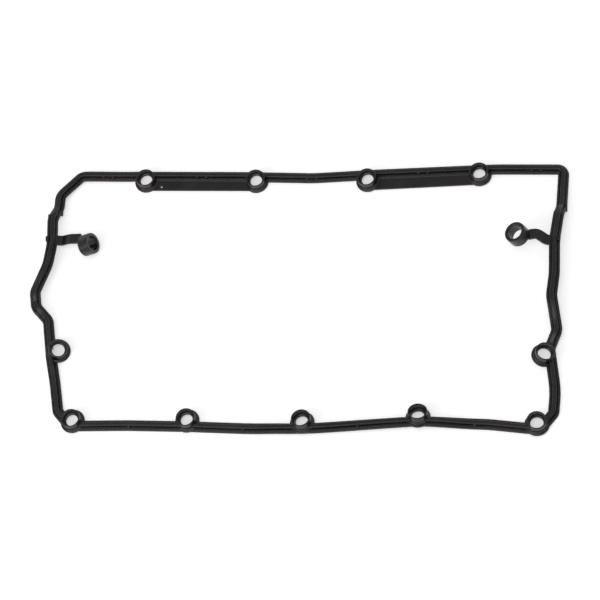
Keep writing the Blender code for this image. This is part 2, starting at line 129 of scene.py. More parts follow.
def add_node(tree: bpy.types.NodeTree, kind: str, settings: dict[str, Any] | None = None,
             inputs: dict[str | int, Any] | None = None) -> bpy.types.Node:
    """Adds one shader node with its settings, values and links.

    Args:
        tree: The node tree that gets the node.
        kind: The node's Blender type name.
        settings: Properties of the node.
        inputs: Socket name or index, with a value or the output socket that feeds it.

    Returns:
        The new node.
    """
    node = tree.nodes.new(kind)
    for name, value in (settings or {}).items():
        setattr(node, name, value)
    for name, value in (inputs or {}).items():
        if isinstance(value, bpy.types.NodeSocket):
            tree.links.new(value, node.inputs[name])
        else:
            node.inputs[name].default_value = value
    return node


def emptied_tree(owner: bpy.types.Material | bpy.types.World) -> bpy.types.NodeTree:
    """Turns on the nodes of a material or world and clears them.

    Args:
        owner: The material or the world.

    Returns:
        Its empty node tree.
    """
    owner.use_nodes = True
    owner.node_tree.nodes.clear()
    return owner.node_tree


def seen_directly(tree: bpy.types.NodeTree) -> bpy.types.NodeSocket:
    """Tells the camera's rays, and those that gloss or glass sends on, from rays that light a surface.

    Args:
        tree: The node tree that asks.

    Returns:
        A socket that is 1 for such a ray and 0 for any other.
    """
    ray = add_node(tree, "ShaderNodeLightPath")
    mirrored = add_node(tree, "ShaderNodeMath", {"operation": "MAXIMUM"},
                        {0: ray.outputs["Is Glossy Ray"], 1: ray.outputs["Is Transmission Ray"]})
    seen = add_node(tree, "ShaderNodeMath", {"operation": "MAXIMUM"},
                    {0: ray.outputs["Is Camera Ray"], 1: mirrored.outputs[0]})
    return seen.outputs[0]


def spun(profile: Profile, steps: int) -> Shape:
    """Spins a profile of radius and height about Z into a closed solid.

    Args:
        profile: Points from the axis out, up and back to the axis.
        steps: Steps of the full turn.

    Returns:
        The solid.
    """
    shape = bmesh.new()
    verts = [shape.verts.new((radius, 0.0, height)) for radius, height in profile]
    edges = [shape.edges.new(pair) for pair in zip(verts, verts[1:])]
    bmesh.ops.spin(shape, geom=verts + edges, axis=(0, 0, 1), cent=(0, 0, 0), steps=steps,
                   angle=2 * math.pi, use_merge=True)
    bmesh.ops.remove_doubles(shape, verts=shape.verts, dist=WELD_MM)
    bmesh.ops.recalc_face_normals(shape, faces=shape.faces)
    return shape


def rounded(corners: Sequence[tuple[float, float, float]], steps: int = 4,
            is_closed: bool = False) -> Profile:
    """Rounds the corners of an outline with arcs.

    Args:
        corners: Corner points, each with its round's radius.
        steps: Steps in each arc.
        is_closed: Whether the last corner joins the first.

    Returns:
        The outline's points.
    """
    outline: Profile = []
    count = len(corners)
    for index, (x, y, radius) in enumerate(corners):
        here = Vector((x, y))
        if radius <= 0.0 or (not is_closed and index in (0, count - 1)):
            outline.append((x, y))
            continue
        before = Vector(corners[index - 1][:2]) - here
        after = Vector(corners[(index + 1) % count][:2]) - here
        half = before.angle(after) / 2
        cut = min(radius / math.tan(half), ROUND_SHARE * before.length, ROUND_SHARE * after.length)
        start, end = here + before.normalized() * cut, here + after.normalized() * cut
        centre = here + (before.normalized() + after.normalized()).normalized() * (cut / math.cos(half))
        first, last = start - centre, end - centre
        for step in range(steps + 1):
            share = step / steps
            arm = first.slerp(last, share).normalized() * first.length
            outline.append(tuple(centre + arm))
    return outline


def swept(matrices: Sequence[Matrix], outline: Profile, is_closed: bool) -> Shape:
    """Extrudes an outline from station to station.

    Args:
        matrices: The place of each station; X is across, Y is up.
        outline: The section's points.
        is_closed: Whether the last station joins the first.

    Returns:
        The swept solid, with flat ends where it is open.
    """
    shape = bmesh.new()
    ring = [shape.verts.new(matrices[0] @ Vector((u, w, 0.0))) for u, w in outline]
    edges = [shape.edges.new(pair) for pair in zip(ring, ring[1:] + ring[:1])]
    first = list(edges)
    for before, here in zip(matrices, matrices[1:]):
        grown = bmesh.ops.extrude_edge_only(shape, edges=edges)["geom"]
        verts = [item for item in grown if isinstance(item, bmesh.types.BMVert)]
        fresh = set(verts)
        edges = [item for item in grown
                 if isinstance(item, bmesh.types.BMEdge) and fresh.issuperset(item.verts)]
        bmesh.ops.transform(shape, matrix=here @ before.inverted(), verts=verts)
    if is_closed:
        bmesh.ops.bridge_loops(shape, edges=first + edges)
    else:
        bmesh.ops.edgenet_fill(shape, edges=first)
        bmesh.ops.edgenet_fill(shape, edges=edges)
    bmesh.ops.recalc_face_normals(shape, faces=shape.faces)
    return shape


def placed(shape: Shape, matrix: Matrix) -> Shape:
    """Moves a bmesh by a matrix and gives it back."""
    bmesh.ops.transform(shape, matrix=matrix, verts=shape.verts)
    return shape


def eased(shape: Shape, radius: float) -> Shape:
    """Rounds every edge of a bmesh.

    Args:
        shape: The bmesh.
        radius: The rounds' radius.

    Returns:
        The same bmesh.
    """
    bmesh.ops.bevel(shape, geom=shape.edges[:], offset=radius, segments=EASE_SEGMENTS, profile=0.5,
                    affect="EDGES", material=-1)
    return shape


def eased_block(size: Vector, radius: float) -> Shape:
    """Makes a block about its own middle with rounded edges.

    Args:
        size: Its three sizes.
        radius: Radius of its edges.

    Returns:
        The block.
    """
    shape = bmesh.new()
    bmesh.ops.create_cube(shape, size=1.0)
    bmesh.ops.scale(shape, vec=size, verts=shape.verts)
    return eased(shape, radius)


def gathered(shapes: Iterable[Shape]) -> Shape:
    """Puts several bmeshes into one and frees them; their shells stay apart.

    Args:
        shapes: The bmeshes.

    Returns:
        The one bmesh.
    """
    whole = bmesh.new()
    scratch = bpy.data.meshes.new("scratch")
    for shape in shapes:
        shape.to_mesh(scratch)
        shape.free()
        whole.from_mesh(scratch)
    bpy.data.meshes.remove(scratch)
    return whole


def as_mesh(name: str, shape: Shape) -> bpy.types.Mesh:
    """Turns a bmesh into a mesh and frees it.

    Args:
        name: The mesh's name.
        shape: The bmesh.

    Returns:
        The mesh.
    """
    mesh = bpy.data.meshes.new(name)
    shape.to_mesh(mesh)
    shape.free()
    return mesh


def linked(name: str, data: bpy.types.ID) -> bpy.types.Object:
    """Makes an object of a mesh, lamp or camera and links it to the scene.

    Args:
        name: The object's name.
        data: The mesh, lamp or camera.

    Returns:
        The object.
    """
    item = bpy.data.objects.new(name, data)
    bpy.context.collection.objects.link(item)
    return item


def from_columns(*columns: Vector) -> Matrix:
    """Makes a place from its directions.

    Args:
        columns: Its X, Y and Z directions and its origin.

    Returns:
        The place.
    """
    matrix = Matrix.Identity(4)
    for column, vector in enumerate(columns):
        for row in range(3):
            matrix[row][column] = vector[row]
    return matrix


def eased_share(share: float) -> float:
    """Turns a share from 0 to 1 into a smooth step."""
    return share * share * (3.0 - 2.0 * share)


# Where things lie.


@dataclass(frozen=True)
class Bolt:
    """One bolt place: the middle of its eyelet's foot, and the lean of its top in degrees."""

    x: float
    y: float
    lean_right: float
    lean_back: float
    has_wide_hole: bool = False

    def lean(self) -> Matrix:
        """Turns an upright eyelet the way it leans."""
        return (Matrix.Rotation(math.radians(self.lean_right), 4, "Y")
                @ Matrix.Rotation(math.radians(-self.lean_back), 4, "X"))

    def matrix(self, foot_radius: float) -> Matrix:
        """Places an eyelet so that the low edge of its leaning foot rests on the table.

        Args:
            foot_radius: Radius of the eyelet's foot.

        Returns:
            The eyelet's place.
        """
        lean = self.lean()
        lift = foot_radius * math.sin(math.acos(min(lean[2][2], 1.0)))
        return Matrix.Translation((self.x, self.y, lift)) @ lean


@dataclass(frozen=True)
class Corner:
    """A corner of the strip's route from a bolt, with its bend's radius, its rise and its roll in degrees."""

    anchor: str
    dx: float
    dy: float
    radius: float
    rise: float = 0.0
    roll: float = 0.0


@dataclass
class BoltPattern:
    """The eleven bolt places: two rows at the cylinder pitch and one on each side."""

    pitch: float = 88.0
    row_spacing: float = 202.0
    back_shift: float = -1.1
    left_offset: tuple[float, float] = (-16.3, 57.55)
    right_offset: tuple[float, float] = (4.2, 54.35)
    drift: dict[str, tuple[float, float]] = field(default_factory=lambda: {
        "front_1": (1.0, -0.55),
        "front_2": (1.4, -0.45),
        "front_3": (1.2, -2.6),
        "front_4": (0.1, 1.0),
        "front_5": (0.1, -3.85),
        "back_1": (0.2, -0.55),
        "back_2": (0.0, -2.3),
        "back_3": (0.0, -3.2),
        "back_4": (-1.4, 0.05),
    })
    lean_degrees: dict[str, tuple[float, float]] = field(default_factory=lambda: {
        "front_1": (-4.0, 0.5),
        "front_2": (-3.0, 2.8),
        "front_3": (-4.0, 10.0),
        "front_4": (0.0, 17.5),
        "front_5": (-0.5, 5.0),
        "back_1": (-1.0, 1.0),
        "back_2": (-1.5, -2.0),
        "back_3": (-4.8, -0.8),
        "back_4": (-2.0, 2.7),
        "left": (10.0, -5.0),
        "right": (13.0, 4.0),
    })
    wide_holes: tuple[str, ...] = ("front_5", "left", "right")

    def table(self) -> dict[str, Bolt]:
        """Lists the bolts, with the drifts and leans of a soft part at rest.

        Returns:
            Each bolt by its name.
        """
        places: dict[str, tuple[float, float]] = {}
        for row, row_x, row_y in (("front", 0.0, 0.0), ("back", self.back_shift, self.row_spacing)):
            names = [name for name in self.drift if name.startswith(row)]
            for index, name in enumerate(names):
                from_middle = (index - (len(names) - 1) / 2) * self.pitch
                dx, dy = self.drift[name]
                places[name] = (row_x + from_middle + dx, row_y + dy)
        for side, name, (dx, dy) in ((Side.LEFT, "front_1", self.left_offset),
                                     (Side.RIGHT, "front_5", self.right_offset)):
            places[side.value] = (places[name][0] + dx, places[name][1] + dy)
        return {name: Bolt(*place, *self.lean_degrees[name], name in self.wide_holes)
                for name, place in places.items()}


# The strip.

ROUTE: tuple[Corner, ...] = (
    Corner("front_1", -12.4, 8.05, 6.0),
    Corner("front_1", -2.0, -3.65, 6.0),
    Corner("front_1", 42.0, -3.3, 400.0),
    Corner("front_2", 0.0, -4.4, 300.0),
    Corner("front_2", 44.0, -6.1, 400.0),
    Corner("front_3", 0.0, -4.7, 300.0, 1.0, 6.0),
    Corner("front_4", 0.0, -3.1, 120.0, 2.4, 11.0),
    Corner("front_5", -36.1, 0.25, 120.0),
    Corner("front_5", -4.1, -3.25, 12.0),
    Corner("front_5", 3.9, -1.75, 5.0),
    Corner("front_5", 12.1, 8.95, 5.0),
    Corner("front_5", 13.3, 26.95, 80.0),
    Corner("right", 4.4, 6.2, 12.0, 0.5),
    Corner("right", 10.0, 19.7, 12.0, 2.6),
    Corner("right", 5.7, 47.4, 25.0, 6.0),
    Corner("back_4", 58.5, -86.35, 60.0, 6.0),
    Corner("back_4", 58.4, -58.35, 60.0, 6.0),
    Corner("back_4", 61.1, -38.55, 10.0, 6.0),
    Corner("back_4", 63.5, -27.85, 10.0, 1.5),
    Corner("back_4", 64.8, 3.85, 5.0),
    Corner("back_4", 12.5, 4.95, 200.0),
    Corner("back_3", 7.1, 5.5, 200.0),
    Corner("back_3", -42.9, 3.2, 120.0),
    Corner("back_2", -8.9, 4.4, 200.0),
    Corner("back_1", -9.1, 4.45, 200.0, 0.3),
    Corner("back_1", -52.4, 4.45, 7.0, 2.0),
    Corner("back_1", -67.9, -12.95, 9.0, 3.0),
    Corner("back_1", -68.0, -22.75, 10.0, 3.0),
    Corner("back_1", -71.7, -35.75, 10.0, 6.5, 14.0),
    Corner("back_1", -70.3, -54.75, 60.0, 6.5, 12.0),
    Corner("back_1", -72.1, -73.75, 40.0, 6.5, 8.0),
    Corner("back_1", -80.0, -96.75, 10.0, 6.0, 2.0),
    Corner("left", -20.0, 35.2, 10.0, 4.6),
    Corner("left", -10.1, 25.3, 9.0, 1.6),
    Corner("left", -5.6, -4.1, 60.0, 0.6, 5.0),
    Corner("front_1", -16.8, 31.45, 120.0),
)


@dataclass(frozen=True)
class Station:
    """One place along the strip: the middle of its underside, and its roll in degrees."""

    place: Vector
    roll: float


@dataclass
class SealStrip:
    """The sealing strip: a flange with an upright rib, two low beads and a moulding line on each edge."""

    bolts: dict[str, Bolt]
    flange_width: float = 8.5
    flange_thickness: float = 2.0
    flange_round: float = 0.45
    flash_height: float = 0.12
    flash_shares: tuple[float, float, float] = (0.42, 0.5, 0.58)
    rib_width: float = 3.0
    rib_height: float = 3.5
    rib_draft: float = 0.12
    rib_round: float = 0.55
    root_round: float = 0.3
    bead_from_rib: float = 1.2
    bead_width: float = 0.9
    bead_height: float = 0.5
    bead_top_share: float = 0.4
    bead_rounds: tuple[float, float] = (0.12, 0.14)
    section_steps: int = 3
    seat_gap: float = 0.15
    bend_step: float = 4.0
    bend_share: float = 0.48
    ramp_step: float = 1.6
    straight_step: float = 9.0
    least_step: float = 0.3
    level_rise: float = 0.05
    level_roll: float = 0.5
    sharpest_mitre: float = 0.8
    stations: list[Station] = field(default_factory=list)

    def __post_init__(self) -> None:
        """Lays out the stations once."""
        self.stations = self._stations()

    def _arc(self, before: Vector, here: Vector, after: Vector, radius: float) -> list[Vector]:
        """Rounds one corner of the route in plan.

        Args:
            before: The corner before it.
            here: The corner.
            after: The corner after it.
            radius: The bend's radius.

        Returns:
            Points from where the bend starts to where it ends.
        """
        towards, away = (here - before).normalized(), (after - here).normalized()
        turn = math.atan2(towards.x * away.y - towards.y * away.x, towards.dot(away))
        if abs(turn) < LEAST_TURN:
            return [here]
        room = self.bend_share * min((here - before).length, (after - here).length)
        cut = min(radius * math.tan(abs(turn) / 2), room)
        bend_radius = cut / math.tan(abs(turn) / 2)
        start = here - towards * cut
        centre = start + Vector((-towards.y, towards.x)) * math.copysign(bend_radius, turn)
        steps = max(2, math.ceil(math.degrees(abs(turn)) / self.bend_step))
        arm = start - centre
        return [centre + Matrix.Rotation(turn * step / steps, 2) @ arm for step in range(steps + 1)]

    def _stations(self) -> list[Station]:
        """Works out every station of the closed route."""
        plan = [Vector((self.bolts[c.anchor].x + c.dx, self.bolts[c.anchor].y + c.dy)) for c in ROUTE]
        count = len(plan)
        bends = [self._arc(plan[index - 1], plan[index], plan[(index + 1) % count], corner.radius)
                 for index, corner in enumerate(ROUTE)]
        stations: list[Station] = []
        for index, arc in enumerate(bends):
            corner, following = ROUTE[index], ROUTE[(index + 1) % count]
            stations += [Station(Vector((*p, self.seat_gap + corner.rise)), corner.roll) for p in arc]
            start, end = arc[-1], bends[(index + 1) % count][0]
            is_level = (abs(following.rise - corner.rise) <= self.level_rise
                        and abs(following.roll - corner.roll) <= self.level_roll)
            step = self.straight_step if is_level else self.ramp_step
            steps = max(1, round((end - start).length / step))
            for part in range(1, steps):
                share = part / steps
                blend = eased_share(share)
                rise = corner.rise + (following.rise - corner.rise) * blend
                roll = corner.roll + (following.roll - corner.roll) * blend
                stations.append(Station(Vector((*start.lerp(end, share), self.seat_gap + rise)), roll))
        kept: list[Station] = []
        for station in stations:
            if not kept or (station.place - kept[-1].place).length > self.least_step:
                kept.append(station)
        return kept

    def section(self) -> Profile:
        """Draws the strip's section.

        Returns:
            The closed outline, across towards the open middle and up.
        """
        half = self.flange_width / 2
        wall = half - self.flash_height
        thick = self.flange_thickness
        rib = self.rib_width / 2
        top = thick + self.rib_height
        bead = rib + self.bead_from_rib
        bead_top = thick + self.bead_height
        half_bead = self.bead_width / 2
        half_top = half_bead * self.bead_top_share
        foot_round, top_round = self.bead_rounds
        flash_low, flash_edge, flash_high = self.flash_shares
        corners = [
            (wall, 0.0, self.flange_round),
            (wall, thick * flash_low, 0.0),
            (half, thick * flash_edge, 0.0),
            (wall, thick * flash_high, 0.0),
            (wall, thick, self.flange_round),
            (bead + half_bead, thick, foot_round),
            (bead + half_top, bead_top, top_round),
            (bead - half_top, bead_top, top_round),
            (bead - half_bead, thick, foot_round),
            (rib + self.rib_draft, thick, self.root_round),
            (rib, top, self.rib_round),
        ]
        mirrored = [(-across, up, radius) for across, up, radius in reversed(corners)]
        return rounded(corners + mirrored, self.section_steps, True)

    def matrices(self) -> list[Matrix]:
        """Places the section at every station.

        Returns:
            The places, with X across the strip and Y up.
        """
        found = []
        count = len(self.stations)
        for index, station in enumerate(self.stations):
            before = self.stations[index - 1].place
            after = self.stations[(index + 1) % count].place
            arriving = (station.place - before).normalized()
            forward = (arriving + (after - station.place).normalized()).normalized()
            across = Vector((-forward.y, forward.x, 0.0)).normalized()
            up = forward.cross(across)
            angle = math.radians(station.roll)
            leaned_up = up * math.cos(angle) + across * math.sin(angle)
            leaned_across = across * math.cos(angle) - up * math.sin(angle)
            mitre = 1.0 / max(arriving.dot(forward), self.sharpest_mitre)
            found.append(from_columns(leaned_across * mitre, leaned_up, forward, station.place))
        return found

    def shape(self) -> Shape:
        """Sweeps the section all the way round."""
        return swept(self.matrices(), self.section(), True)

    def _meeting(self, axis: int, value: float, is_low: bool) -> tuple[Vector, Vector]:
        """Finds where the route crosses a line of X or Y on one side of the frame.

        Args:
            axis: 0 for a line of X, 1 for a line of Y.
            value: The line's place.
            is_low: Whether the front or left crossing is wanted.

        Returns:
            The place and the route's direction there.
        """
        other = 1 - axis
        middle = sum(s.place[other] for s in self.stations) / len(self.stations)
        for index, station in enumerate(self.stations):
            start, end = station.place, self.stations[(index + 1) % len(self.stations)].place
            run, drift = end[axis] - start[axis], end[other] - start[other]
            if abs(run) < max(LEAST_RUN, abs(drift)) or (start[other] < middle) != is_low:
                continue
            share = (value - start[axis]) / run
            if 0.0 <= share <= 1.0:
                return start.lerp(end, share), (end - start).normalized()
        raise ValueError("the strip does not reach that place")

    def on_rail(self, rail: Rail, x: float) -> tuple[Vector, Vector]:
        """Gives the strip's place and direction at an X on a rail."""
        return self._meeting(0, x, rail is Rail.FRONT)

    def on_side(self, side: Side, y: float) -> tuple[Vector, Vector]:
        """Gives the strip's place and direction at a Y on a side."""
        return self._meeting(1, y, side is Side.LEFT)


@dataclass
class BoltEyelet:
    """A bolt eyelet: a tube on a wide foot, with a lip part of the way down its bore."""

    foot_radius: float = 9.4
    foot_height: float = 1.6
    tube_radius: float = 7.5
    height: float = 8.4
    bore_radius: float = 6.3
    lip_radius: float = 4.6
    wide_lip_radius: float = 4.9
    lip_bottom: float = 2.2
    lip_top: float = 3.8
    lip_ease: float = 0.35
    lip_rounds: tuple[float, float, float] = (0.2, 0.3, 0.3)
    step_width: float = 0.5
    step_rise: float = 0.9
    step_round: float = 0.5
    relief_slope: float = 0.6
    edge_round: float = 0.45
    sole_round: float = 0.3
    flare_foot: tuple[float, float, float] = (0.22, 0.16, 0.3)
    flare_top: tuple[float, float] = (0.75, 0.4)
    tube_draft: float = 0.1
    bore_draft: float = 0.06
    mouth_share: float = 0.8
    mouth_round: float = 0.25
    mouth_slope: float = 0.6
    cutter_reach: float = 4.0
    bore_steps: int = 3
    steps: int = 64

    def body(self) -> Shape:
        """Spins the outside of the eyelet; the flare's corners are shares of its width."""
        foot, tube = self.foot_radius, self.tube_radius
        flare = foot - tube
        out, low, low_round = self.flare_foot
        high, high_round = self.flare_top
        corners = [
            (0.0, 0.0, 0.0),
            (foot, 0.0, self.sole_round),
            (foot, self.foot_height, self.edge_round),
            (tube + flare * out, self.foot_height + flare * low, flare * low_round),
            (tube, self.foot_height + flare * high, flare * high_round),
            (tube - self.tube_draft, self.height, self.edge_round),
            (0.0, self.height, 0.0),
        ]
        return spun(rounded(corners), self.steps)

    def bore(self, has_wide_hole: bool) -> Shape:
        """Spins the cutter for the bore, with the lip, the step above it and eased mouths.

        Args:
            has_wide_hole: Whether this eyelet has the wider lip.

        Returns:
            The cutter.
        """
        reach, chamfer = self.cutter_reach, self.edge_round * self.mouth_share
        under_round, edge_round, top_round = self.lip_rounds
        lip = self.wide_lip_radius if has_wide_hole else self.lip_radius
        mouth = lip + (self.lip_bottom + reach) * self.relief_slope
        corners = [
            (0.0, -reach, 0.0),
            (mouth, -reach, 0.0),
            (lip, self.lip_bottom, under_round),
            (lip, self.lip_top - self.lip_ease, edge_round),
            (self.bore_radius - self.step_width, self.lip_top, top_round),
            (self.bore_radius - self.bore_draft, self.lip_top + self.step_rise, self.step_round),
            (self.bore_radius, self.height - chamfer, self.mouth_round),
            (self.bore_radius + chamfer * self.mouth_slope + reach * self.mouth_slope,
             self.height + reach, 0.0),
            (0.0, self.height + reach, 0.0),
        ]
        return spun(rounded(corners, self.bore_steps), self.steps)


@dataclass
class Web:
    """A thin plate in front of the back rail, between two eyelets."""

    reach: float = 7.8
    back: float = 3.0
    thickness: float = 1.6
    lift: float = 0.3
    edge_round: float = 0.3
    pinhole_radius: float = 0.9
    pinhole_offset: tuple[float, float] = (12.1, -5.05)
    pinhole_reach: float = 4.0
    pinhole_steps: int = 24

    def plate(self, left: Bolt, right: Bolt) -> Shape:
        """Makes the plate between two bolts.

        Args:
            left: The bolt on its left.
            right: The bolt on its right.

        Returns:
            The plate with its edges eased.
        """
        shape = bmesh.new()
        corners = ((left.x, left.y - self.reach), (right.x, right.y - self.reach),
                   (right.x, right.y + self.back), (left.x, left.y + self.back))
        face = shape.faces.new([shape.verts.new((x, y, self.lift)) for x, y in corners])
        grown = bmesh.ops.extrude_face_region(shape, geom=[face])["geom"]
        top = [item for item in grown if isinstance(item, bmesh.types.BMVert)]
        bmesh.ops.translate(shape, vec=(0, 0, self.thickness), verts=top)
        eased(shape, self.edge_round)
        bmesh.ops.recalc_face_normals(shape, faces=shape.faces)
        return shape

    def pinhole(self, bolt: Bolt) -> Shape:
        """Makes the cutter for the pinhole.

        Args:
            bolt: The bolt that it is measured from.

        Returns:
            The cutter.
        """
        dx, dy = self.pinhole_offset
        radius, reach = self.pinhole_radius, self.pinhole_reach
        profile = [(0.0, -reach), (radius, -reach), (radius, reach), (0.0, reach)]
        cutter = spun(profile, self.pinhole_steps)
        return placed(cutter, Matrix.Translation((bolt.x + dx, bolt.y + dy, 0.0)))


@dataclass
class GrommetArm:
    """A strap from a side of the frame to a grommet.

    The root and the base are measured from the anchor bolt and the tip from the base. A bend is a share of
    the way from root to tip, a step aside and a height.
    """

    anchor: Bolt
    root: tuple[float, float, float]
    bends: tuple[tuple[float, float, float], ...]
    tip: tuple[float, float, float]
    base: tuple[float, float, float]
    axis: tuple[float, float, float]
    strap_width: float = 8.2
    strap_thickness: float = 2.2
    strap_round: float = 0.6
    steps_a_bend: int = 5
    radius: float = 8.5
    bore_radius: float = 5.7
    length: float = 9.0
    edge_round: float = 0.5
    seam_shares: tuple[float, float] = (0.74, 0.78)
    seam_steps: tuple[float, float] = (0.02, 0.2)
    seam_round: float = 0.05
    cutter_reach: float = 0.6
    mouth_round: float = 0.4
    steps: int = 56

    def _smooth_points(self) -> list[Vector]:
        """Puts a smooth curve through the strap's root, its bends and its tip.

        Returns:
            The curve's points.
        """
        foot = Vector((self.anchor.x, self.anchor.y, 0.0))
        root = foot + Vector(self.root)
        tip = foot + Vector(self.base) + Vector(self.tip)
        bends = []
        for share, aside, height in self.bends:
            place = root.lerp(tip, share)
            bends.append(Vector((place.x, place.y + aside, height)))
        raw = [root, *bends, tip]
        ends = [raw[0] * 2 - raw[1]] + raw + [raw[-1] * 2 - raw[-2]]
        smooth = []
        for index in range(1, len(ends) - 2):
            a, b, c, d = ends[index - 1:index + 3]
            for step in range(self.steps_a_bend):
                t = step / self.steps_a_bend
                smooth.append(0.5 * (2 * b + (c - a) * t + (2 * a - 5 * b + 4 * c - d) * t ** 2
                                     + (3 * b - a - 3 * c + d) * t ** 3))
        return smooth + [raw[-1]]

    def strap(self) -> Shape:
        """Sweeps the strap."""
        points = self._smooth_points()
        wide, thick = self.strap_width / 2, self.strap_thickness / 2
        corners = ((wide, -thick), (wide, thick), (-wide, thick), (-wide, -thick))
        outline = rounded([(*corner, self.strap_round) for corner in corners], is_closed=True)
        matrices = []
        for index, point in enumerate(points):
            before, after = points[max(index - 1, 0)], points[min(index + 1, len(points) - 1)]
            forward = (after - before).normalized()
            across = Vector((-forward.y, forward.x, 0.0)).normalized()
            matrices.append(from_columns(across, forward.cross(across), forward, point))
        return swept(matrices, outline, False)

    def matrix(self) -> Matrix:
        """Places the grommet's base on the end of the strap."""
        x, y, z = self.base
        turn = Vector((0, 0, 1)).rotation_difference(Vector(self.axis)).to_matrix().to_4x4()
        return Matrix.Translation((self.anchor.x + x, self.anchor.y + y, z)) @ turn

    def tube(self) -> Shape:
        """Spins the outside of the grommet, with a fine moulding line near its mouth."""
        radius, length, edge = self.radius, self.length, self.edge_round
        seam_low, seam_high = self.seam_shares
        low_step, high_step = self.seam_steps
        corners = [
            (0.0, 0.0, 0.0),
            (radius, 0.0, edge),
            (radius - low_step, length * seam_low, self.seam_round),
            (radius - high_step, length * seam_high, self.seam_round),
            (radius - high_step, length, edge),
            (0.0, length, 0.0),
        ]
        return placed(spun(rounded(corners), self.steps), self.matrix())

    def bore(self) -> Shape:
        """Spins the cutter for the grommet's hole, eased at its mouth."""
        radius, length, edge = self.bore_radius, self.length, self.edge_round
        corners = [
            (0.0, -self.cutter_reach, 0.0),
            (radius, -self.cutter_reach, 0.0),
            (radius, length - edge, self.mouth_round),
            (radius + 2 * edge, length + edge, 0.0),
            (0.0, length + edge, 0.0),
        ]
        return placed(spun(rounded(corners), self.steps), self.matrix())


@dataclass(frozen=True)
class Ledge:
    """A flange end that runs on past a step: its middle from a bolt, its size and its underside."""

    anchor: str
    dx: float
    dy: float
    width: float
    length: float
    underside: float


@dataclass
class StripMarks:
    """The small features along the strip: pips, studs and the ledges at the steps."""

    strip: SealStrip
    bolts: dict[str, Bolt]
    pip_radius: float = 1.1
    pip_stand_out: float = 0.8
    pip_sink_share: float = 0.55
    pip_top_share: float = 0.75
    pip_round: float = 0.55
    pip_steps: int = 20
    pair_spacing: float = 7.4
    single_pips: tuple[tuple[str, float], ...] = (
        ("front_1", 44.0), ("front_2", 43.4), ("front_3", 42.3), ("front_4", 42.3),
    )
    paired_pips: tuple[tuple[str, float], ...] = (
        ("back_1", -30.6), ("back_1", 44.3), ("back_2", 43.9), ("back_3", 43.1), ("back_4", 43.8),
    )
    stud_size: tuple[float, float, float] = (2.6, 4.2, 3.6)
    stud_stand_out: float = 0.2
    stud_round: float = 0.4
    studs: tuple[tuple[str, float, Side], ...] = (
        ("back_1", -52.65, Side.LEFT), ("back_4", -57.75, Side.RIGHT),
    )
    ledges: tuple[Ledge, ...] = (
        Ledge("back_1", -66.4, -26.45, 3.8, 7.8, 3.25),
        Ledge("back_1", -73.4, -33.65, 4.0, 6.0, 6.75),
        Ledge("back_4", 66.0, -29.55, 3.6, 6.4, 1.8),
        Ledge("back_4", 59.4, -36.65, 4.0, 4.0, 6.25),
    )
    ledge_thickness: float = 1.8
    ledge_round: float = 0.35

    def _pip(self, place: Vector) -> Shape:
        """Makes one domed pip against the front wall of the rib.

        Args:
            place: The strip's place there.

        Returns:
            The pip.
        """
        strip = self.strip
        radius = self.pip_radius
        base = strip.flange_thickness * 0.5
        top = strip.flange_thickness + strip.rib_height * self.pip_top_share
        reach = strip.rib_width / 2 + self.pip_stand_out - radius * self.pip_sink_share
        corners = [(0.0, base, 0.0), (radius, base, 0.0), (radius, top, self.pip_round), (0.0, top, 0.0)]
        pip = spun(rounded(corners), self.pip_steps)
        return placed(pip, Matrix.Translation((place.x, place.y - reach, place.z)))

    def pips(self) -> list[Shape]:
        """Makes every pip of the two rails."""
        shapes = []
        for name, along in self.single_pips:
            shapes.append(self._pip(self.strip.on_rail(Rail.FRONT, self.bolts[name].x + along)[0]))
        for name, along in self.paired_pips:
            for side in (-0.5, 0.5):
                x = self.bolts[name].x + along + side * self.pair_spacing
                shapes.append(self._pip(self.strip.on_rail(Rail.BACK, x)[0]))
        return shapes

    def locating_studs(self) -> list[Shape]:
        """Makes the stud on each outer flange."""
        shapes = []
        wide, long, tall = self.stud_size
        for name, along, side in self.studs:
            place, forward = self.strip.on_side(side, self.bolts[name].y + along)
            outward = Vector((forward.y, -forward.x, 0.0)).normalized()
            middle = place + outward * (self.strip.flange_width / 2 - wide / 2 + self.stud_stand_out)
            middle.z += self.strip.flange_thickness * 0.5 + tall / 2
            turn = Matrix.Rotation(math.atan2(forward.y, forward.x) - math.pi / 2, 4, "Z")
            stud = eased_block(Vector((wide, long, tall)), self.stud_round)
            shapes.append(placed(stud, Matrix.Translation(middle) @ turn))
        return shapes

    def step_ledges(self) -> list[Shape]:
        """Makes the flange ends that run on past each step."""
        shapes = []
        for ledge in self.ledges:
            bolt = self.bolts[ledge.anchor]
            height = self.strip.seat_gap + ledge.underside + self.ledge_thickness / 2
            block = eased_block(Vector((ledge.width, ledge.length, self.ledge_thickness)), self.ledge_round)
            shapes.append(placed(block, Matrix.Translation((bolt.x + ledge.dx, bolt.y + ledge.dy, height))))
        return shapes


# Finishes.


